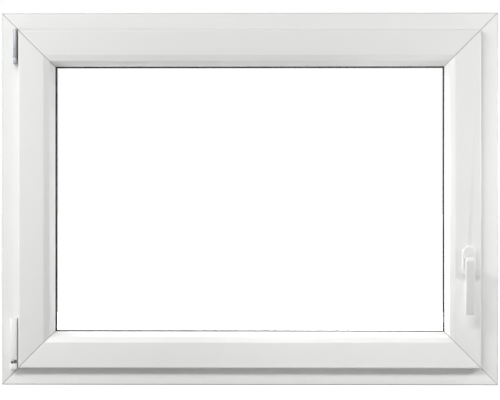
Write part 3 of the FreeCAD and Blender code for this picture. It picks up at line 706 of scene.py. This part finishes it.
def perforation_tree():
    """Holes that follow the rectangle of the spacer's inner face, each a small slit of painted hole shade laid on the
    metal.
    """
    tree = bpy.data.node_groups.new("spacer_perforations", "GeometryNodeTree")
    sockets = {}
    for name, kind in (
        ("Span across", "NodeSocketFloat"),
        ("Span up", "NodeSocketFloat"),
        ("Middle", "NodeSocketVector"),
        ("Spacing", "NodeSocketFloat"),
        ("Slit size", "NodeSocketVector"),
        ("Rows", "NodeSocketInt"),
        ("Row distance", "NodeSocketFloat"),
        ("Material", "NodeSocketMaterial"),
    ):
        sockets[name] = tree.interface.new_socket(name, in_out="INPUT", socket_type=kind).identifier
    tree.interface.new_socket("Slits", in_out="OUTPUT", socket_type="NodeSocketGeometry")
    given = add_node(tree, "NodeGroupInput").outputs
    outline = add_node(
        tree,
        "GeometryNodeCurvePrimitiveQuadrilateral",
        {"Width": given["Span across"], "Height": given["Span up"]},
    )
    upright = add_node(
        tree,
        "GeometryNodeTransform",
        {"Geometry": outline.outputs[0], "Translation": given["Middle"], "Rotation": (math.pi / 2, 0, 0)},
    )
    places = add_node(
        tree,
        "GeometryNodeCurveToPoints",
        {"Curve": upright.outputs[0], "Length": given["Spacing"]},
        mode="LENGTH",
    )
    doubled = add_node(
        tree,
        "GeometryNodeDuplicateElements",
        {"Geometry": places.outputs["Points"], "Amount": given["Rows"]},
        domain="POINT",
    )
    last = add_node(tree, "ShaderNodeMath", {0: given["Rows"], 1: 1.0}, operation="SUBTRACT")
    half = add_node(tree, "ShaderNodeMath", {0: last.outputs[0], 1: 2.0}, operation="DIVIDE")
    row = add_node(
        tree, "ShaderNodeMath", {0: doubled.outputs["Duplicate Index"], 1: half.outputs[0]}, operation="SUBTRACT"
    )
    aside = add_node(tree, "ShaderNodeMath", {0: row.outputs[0], 1: given["Row distance"]}, operation="MULTIPLY")
    offset = add_node(tree, "ShaderNodeCombineXYZ", {"Y": aside.outputs[0]})
    rows = add_node(
        tree,
        "GeometryNodeSetPosition",
        {"Geometry": doubled.outputs["Geometry"], "Offset": offset.outputs[0]},
    )
    turn = add_node(
        tree,
        "FunctionNodeAlignRotationToVector",
        {"Vector": places.outputs["Tangent"]},
        axis="Z",
        pivot_axis="Y",
    )
    slit = add_node(tree, "GeometryNodeMeshCube", {"Size": given["Slit size"]})
    laid = add_node(
        tree,
        "GeometryNodeInstanceOnPoints",
        {"Points": rows.outputs[0], "Instance": slit.outputs["Mesh"], "Rotation": turn.outputs[0]},
    )
    real = add_node(tree, "GeometryNodeRealizeInstances", {"Geometry": laid.outputs[0]})
    painted = add_node(
        tree,
        "GeometryNodeSetMaterial",
        {"Geometry": real.outputs[0], "Material": given["Material"]},
    )
    add_node(tree, "NodeGroupOutput", {0: painted.outputs[0]})
    return tree, sockets


def grow(name, tree, sockets, values, body):
    """Makes a plain mesh from a Geometry Nodes tree with the given input values."""
    made = in_scene(name, bpy.data.meshes.new(name))
    modifier = made.modifiers.new(name, "NODES")
    modifier.node_group = tree
    for label, value in values.items():
        modifier[sockets[label]] = value
    plain(made)
    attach(made, body)


class WINDOW_OT_glass_unit(bpy.types.Operator):
    """Finish the two panes, the spacer bar with its perforations, and the seal round them"""

    bl_idname = "window.glass_unit"
    bl_label = "Glass unit"

    def execute(self, context):
        glass = float_glass()
        coat("inner_pane", glass)
        coat("outer_pane", glass)
        coat("spacer_bar", spacer_aluminium())
        coat("edge_seal", edge_sealant())
        holes = context.scene.spacer_holes
        low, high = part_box("spacer_bar")
        bar_tall = inner_height("spacer_bar")
        tree, sockets = perforation_tree()
        values = {
            "Span across": high.x - low.x - 2 * bar_tall,
            "Span up": high.z - low.z - 2 * bar_tall,
            "Middle": (low + high) / 2,
            "Spacing": holes.spacing,
            "Slit size": (holes.thick, holes.wide, holes.long),
            "Rows": holes.rows,
            "Row distance": holes.row_gap,
            "Material": hole_shade_slit(),
        }
        grow("spacer_perforations", tree, sockets, values, BODY_OF["spacer_bar"])
        return {"FINISHED"}


class WINDOW_OT_handle(bpy.types.Operator):
    """Finish the lever, its spindle and the rosette on the sash"""

    bl_idname = "window.handle"
    bl_label = "Handle"

    def execute(self, context):
        edges = context.scene.window_edges
        finish = context.scene.window_finish
        coating = powder_coat()
        ease("handle_lever", coating, edges.moulding_round)
        ease("handle_rosette", coating, edges.moulding_round)
        ease("handle_spindle", plated_steel("zinc_plated_spindle", finish.steel), edges.steel_round)
        return {"FINISHED"}


class WINDOW_OT_hinges(bpy.types.Operator):
    """Finish the two hinges with their covers, pins and screw"""

    bl_idname = "window.hinges"
    bl_label = "Hinges"

    def execute(self, context):
        edges = context.scene.window_edges
        finish = context.scene.window_finish
        cover = moulded_cover()
        steel = plated_steel("zinc_plated_steel", finish.steel)
        satin = plated_steel("satin_zinc_cap", finish.hinge_cap)
        shade_steel = plated_steel("shade_darkened_steel", finish.painted_shade_steel)
        for node in ("bottom_hinge_cover", "bottom_hinge_bearing"):
            ease(node, cover, edges.moulding_round)
        for node in ("top_hinge_cap", "top_hinge_knuckle"):
            ease(node, satin, edges.steel_round)
        for node in ("top_hinge_bracket", "top_hinge_pin", "bottom_hinge_arm"):
            ease(node, steel, edges.steel_round)
        # painted shade: a dark tone on pin and screw for the shade they sit in under the cover
        for node in ("bottom_hinge_pin", "bottom_hinge_screw"):
            ease(node, shade_steel, edges.steel_round)
        return {"FINISHED"}


class WINDOW_OT_drain_caps(bpy.types.Operator):
    """Finish the caps over the drain slots on the outside"""

    bl_idname = "window.drain_caps"
    bl_label = "Drain caps"

    def execute(self, context):
        ease("drain_caps", moulded_cover(), context.scene.window_edges.moulding_round)
        return {"FINISHED"}


# Stage
# what the lamps point at, in metres to the right, outwards and up
WINDOW_MIDDLE = (0, 0, 0.375)
HANDLE_SIDE = (0.45, 0, 0.3)
HANDLE_FRONT = (0.44, -0.1, 0.2)
LEFT_JAMB = (-0.5, -0.05, 0.375)
TOP_BEAD = (0, 0, 0.65)
# the point of the frame's front, across and up, that the middle of the picture shows
PICTURE_MIDDLE = (0.001, 0.373)
# half the width of the floor, so far that its edge never shows
FLOOR_REACH = 60
# the camera sees the floor lifted to the white of the surroundings, and through the panes a little more,
# because they take some of it off
FLOOR_GLOW = 0.88
FLOOR_GLOW_THROUGH_GLASS = 1.25
# how brightly the surroundings light the window. The camera, mirrored rays and rays through glass see pure white
WORLD_LIGHT = 0.10
# name, place, what it points at, width, height, watts
LAMPS = (
    # upper left, in front: shades the beads and throws the sash's shadow on the sill member. It is wide,
    # so that the shadow on the right jamb stays soft
    ("key_lamp", (-2.3, -2.9, 2.4), WINDOW_MIDDLE, 2.6, 0.45, 76),
    # in front, at the same slope: evens out the top and bottom members
    ("front_lamp", (-0.4, -3.2, 2.6), WINDOW_MIDDLE, 1.2, 0.4, 27),
    # left, near the window's own plane: brighten the left jamb and the faces that look left
    ("left_lamp", (-3.0, -0.6, 0.6), WINDOW_MIDDLE, 0.6, 1.2, 7),
    ("left_jamb_lamp", (-1.0, -0.3, 0.4), LEFT_JAMB, 0.15, 0.9, 1.6),
    # right, close: throws the rosette's shadow to the left and fills the key's shadow on the right jamb
    ("right_lamp", (1.6, -0.9, 0.8), HANDLE_SIDE, 0.3, 0.3, 9),
    # on both sides of the handle, level with it: brighten the rounds of its edges
    ("handle_right_lamp", (0.85, -0.1, 0.42), HANDLE_FRONT, 0.04, 0.2, 0.7),
    ("handle_left_lamp", (0.06, -0.1, 0.42), HANDLE_FRONT, 0.04, 0.2, 0.45),
    # behind: light the outside and, through the glass, the steep faces of the beads
    ("back_lamp", (0, 3.2, 2.6), WINDOW_MIDDLE, 3.5, 1.5, 35),
    ("back_right_lamp", (1.8, 1.6, 0.3), WINDOW_MIDDLE, 0.8, 0.8, 8.3),
    ("back_low_lamp", (0, 0.9, 0.06), TOP_BEAD, 1.4, 0.1, 4.6),
)


def area_lamp(name, place, aim, wide, tall, watts):
    light = bpy.data.lights.new(name, "AREA")
    light.shape = "RECTANGLE"
    light.size = wide
    light.size_y = tall
    light.energy = watts
    lamp = in_scene(name, light)
    lamp.location = place
    lamp.rotation_euler = (Vector(aim) - Vector(place)).to_track_quat("-Z", "Y").to_euler()
    # the lamps beside the handle stand in the picture
    lamp.visible_camera = False


def brighter_of(tree, one, other):
    """One where either of two kinds of ray is true."""
    return add_node(tree, "ShaderNodeMath", {0: one, 1: other}, operation="MAXIMUM").outputs[0]


def studio_floor():
    """A matt floor under the window. The camera sees it as white as the surroundings, with its shadows."""
    ground = CAD_BOX[0].z
    corners = [(x * FLOOR_REACH, y * FLOOR_REACH, ground) for x, y in ((-1, -1), (1, -1), (1, 1), (-1, 1))]
    mesh = bpy.data.meshes.new("studio_floor")
    mesh.from_pydata(corners, [], [(0, 1, 2, 3)])
    material, tree = new_material("matt_white_floor")
    paint = add_node(
        tree,
        "ShaderNodeBsdfPrincipled",
        {"Base Color": linear("B4B4B4"), "Roughness": 0.9, "Specular IOR Level": 0.1},
    )
    path = add_node(tree, "ShaderNodeLightPath").outputs
    lift = add_node(
        tree,
        "ShaderNodeMapRange",
        {"Value": path["Is Transmission Ray"], "To Min": FLOOR_GLOW, "To Max": FLOOR_GLOW_THROUGH_GLASS},
    )
    glow = add_node(tree, "ShaderNodeEmission", {"Color": linear("FFFFFF"), "Strength": lift.outputs[0]})
    lifted = add_node(tree, "ShaderNodeAddShader", {0: paint.outputs[0], 1: glow.outputs[0]})
    seen = brighter_of(tree, path["Is Camera Ray"], path["Is Transmission Ray"])
    both = add_node(tree, "ShaderNodeMixShader", {0: seen, 1: paint.outputs[0], 2: lifted.outputs[0]})
    show(tree, both.outputs[0])
    mesh.materials.append(material)
    floor = in_scene("studio_floor", mesh)


def white_studio():
    """Surroundings that the camera sees pure white, and that light the window softly from all sides."""
    world = bpy.data.worlds.new("white_studio")
    world.use_nodes = True
    tree = world.node_tree
    tree.nodes.clear()
    path = add_node(tree, "ShaderNodeLightPath").outputs
    seen = brighter_of(tree, path["Is Camera Ray"], path["Is Transmission Ray"])
    mirrored = brighter_of(tree, seen, path["Is Glossy Ray"])
    strength = add_node(tree, "ShaderNodeMapRange", {"Value": mirrored, "To Min": WORLD_LIGHT, "To Max": 1.0})
    background = add_node(
        tree,
        "ShaderNodeBackground",
        {"Color": linear("FFFFFF"), "Strength": strength.outputs[0]},
    )
    add_node(tree, "ShaderNodeOutputWorld", {"Surface": background.outputs[0]})
    return world


def photo_camera(stage):
    """The camera at the photograph's place, aimed at the point that the middle of the picture shows."""
    camera = bpy.data.cameras.new("photo_camera")
    camera.sensor_width = 36
    camera.lens = camera.sensor_width * stage.distance / stage.view_wide
    camera.clip_start, camera.clip_end = 0.1, 200
    viewer = in_scene("photo_camera", camera)
    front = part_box("frame_sill")[0].y
    across, up = PICTURE_MIDDLE
    viewer.location = (stage.to_the_right, front - stage.distance, up)
    aim = Vector((across, front, up))
    viewer.rotation_euler = (aim - viewer.location).to_track_quat("-Z", "Y").to_euler()
    return viewer


class WINDOW_OT_stage(bpy.types.Operator):
    """Set up the floor, the white surroundings, the lamps and the camera"""

    bl_idname = "window.stage"
    bl_label = "Stage"

    def execute(self, context):
        scene = context.scene
        studio_floor()
        scene.world = white_studio()
        for lamp in LAMPS:
            area_lamp(*lamp)
        scene.camera = photo_camera(scene.window_stage)
        scene.view_settings.view_transform = "Standard"
        return {"FINISHED"}


class VIEW3D_PT_window(bpy.types.Panel):
    """Sizes, colours and steps of the window"""

    bl_label = "Tilt and turn window"
    bl_space_type = "VIEW_3D"
    bl_region_type = "UI"
    bl_category = "Window"

    def draw(self, context):
        layout = self.layout
        for group in GROUPS:
            settings = getattr(context.scene, group)
            box = layout.box()
            for name in settings.bl_rna.properties.keys():
                if name not in ("rna_type", "name"):
                    box.prop(settings, name)
        for operator in OPERATORS:
            layout.operator(operator.bl_idname)


GROUPS = {
    "window_finish": WindowFinish,
    "window_edges": WindowEdges,
    "gasket_lips": GasketLips,
    "spacer_holes": SpacerHoles,
    "window_stage": WindowStage,
}
OPERATORS = (
    WINDOW_OT_profiles,
    WINDOW_OT_gaskets,
    WINDOW_OT_glass_unit,
    WINDOW_OT_handle,
    WINDOW_OT_hinges,
    WINDOW_OT_drain_caps,
    WINDOW_OT_stage,
)


def register():
    for name, group in GROUPS.items():
        bpy.utils.register_class(group)
        setattr(bpy.types.Scene, name, bpy.props.PointerProperty(type=group))
    for operator in OPERATORS:
        bpy.utils.register_class(operator)
    bpy.utils.register_class(VIEW3D_PT_window)


def unregister():
    bpy.utils.unregister_class(VIEW3D_PT_window)
    for operator in reversed(OPERATORS):
        bpy.utils.unregister_class(operator)
    for name, group in reversed(GROUPS.items()):
        delattr(bpy.types.Scene, name)
        bpy.utils.unregister_class(group)


def main():
    register()
    bpy.ops.window.profiles()
    bpy.ops.window.gaskets()
    bpy.ops.window.glass_unit()
    bpy.ops.window.handle()
    bpy.ops.window.hinges()
    bpy.ops.window.drain_caps()
    bpy.ops.window.stage()


if __name__ == "__main__":
    main()
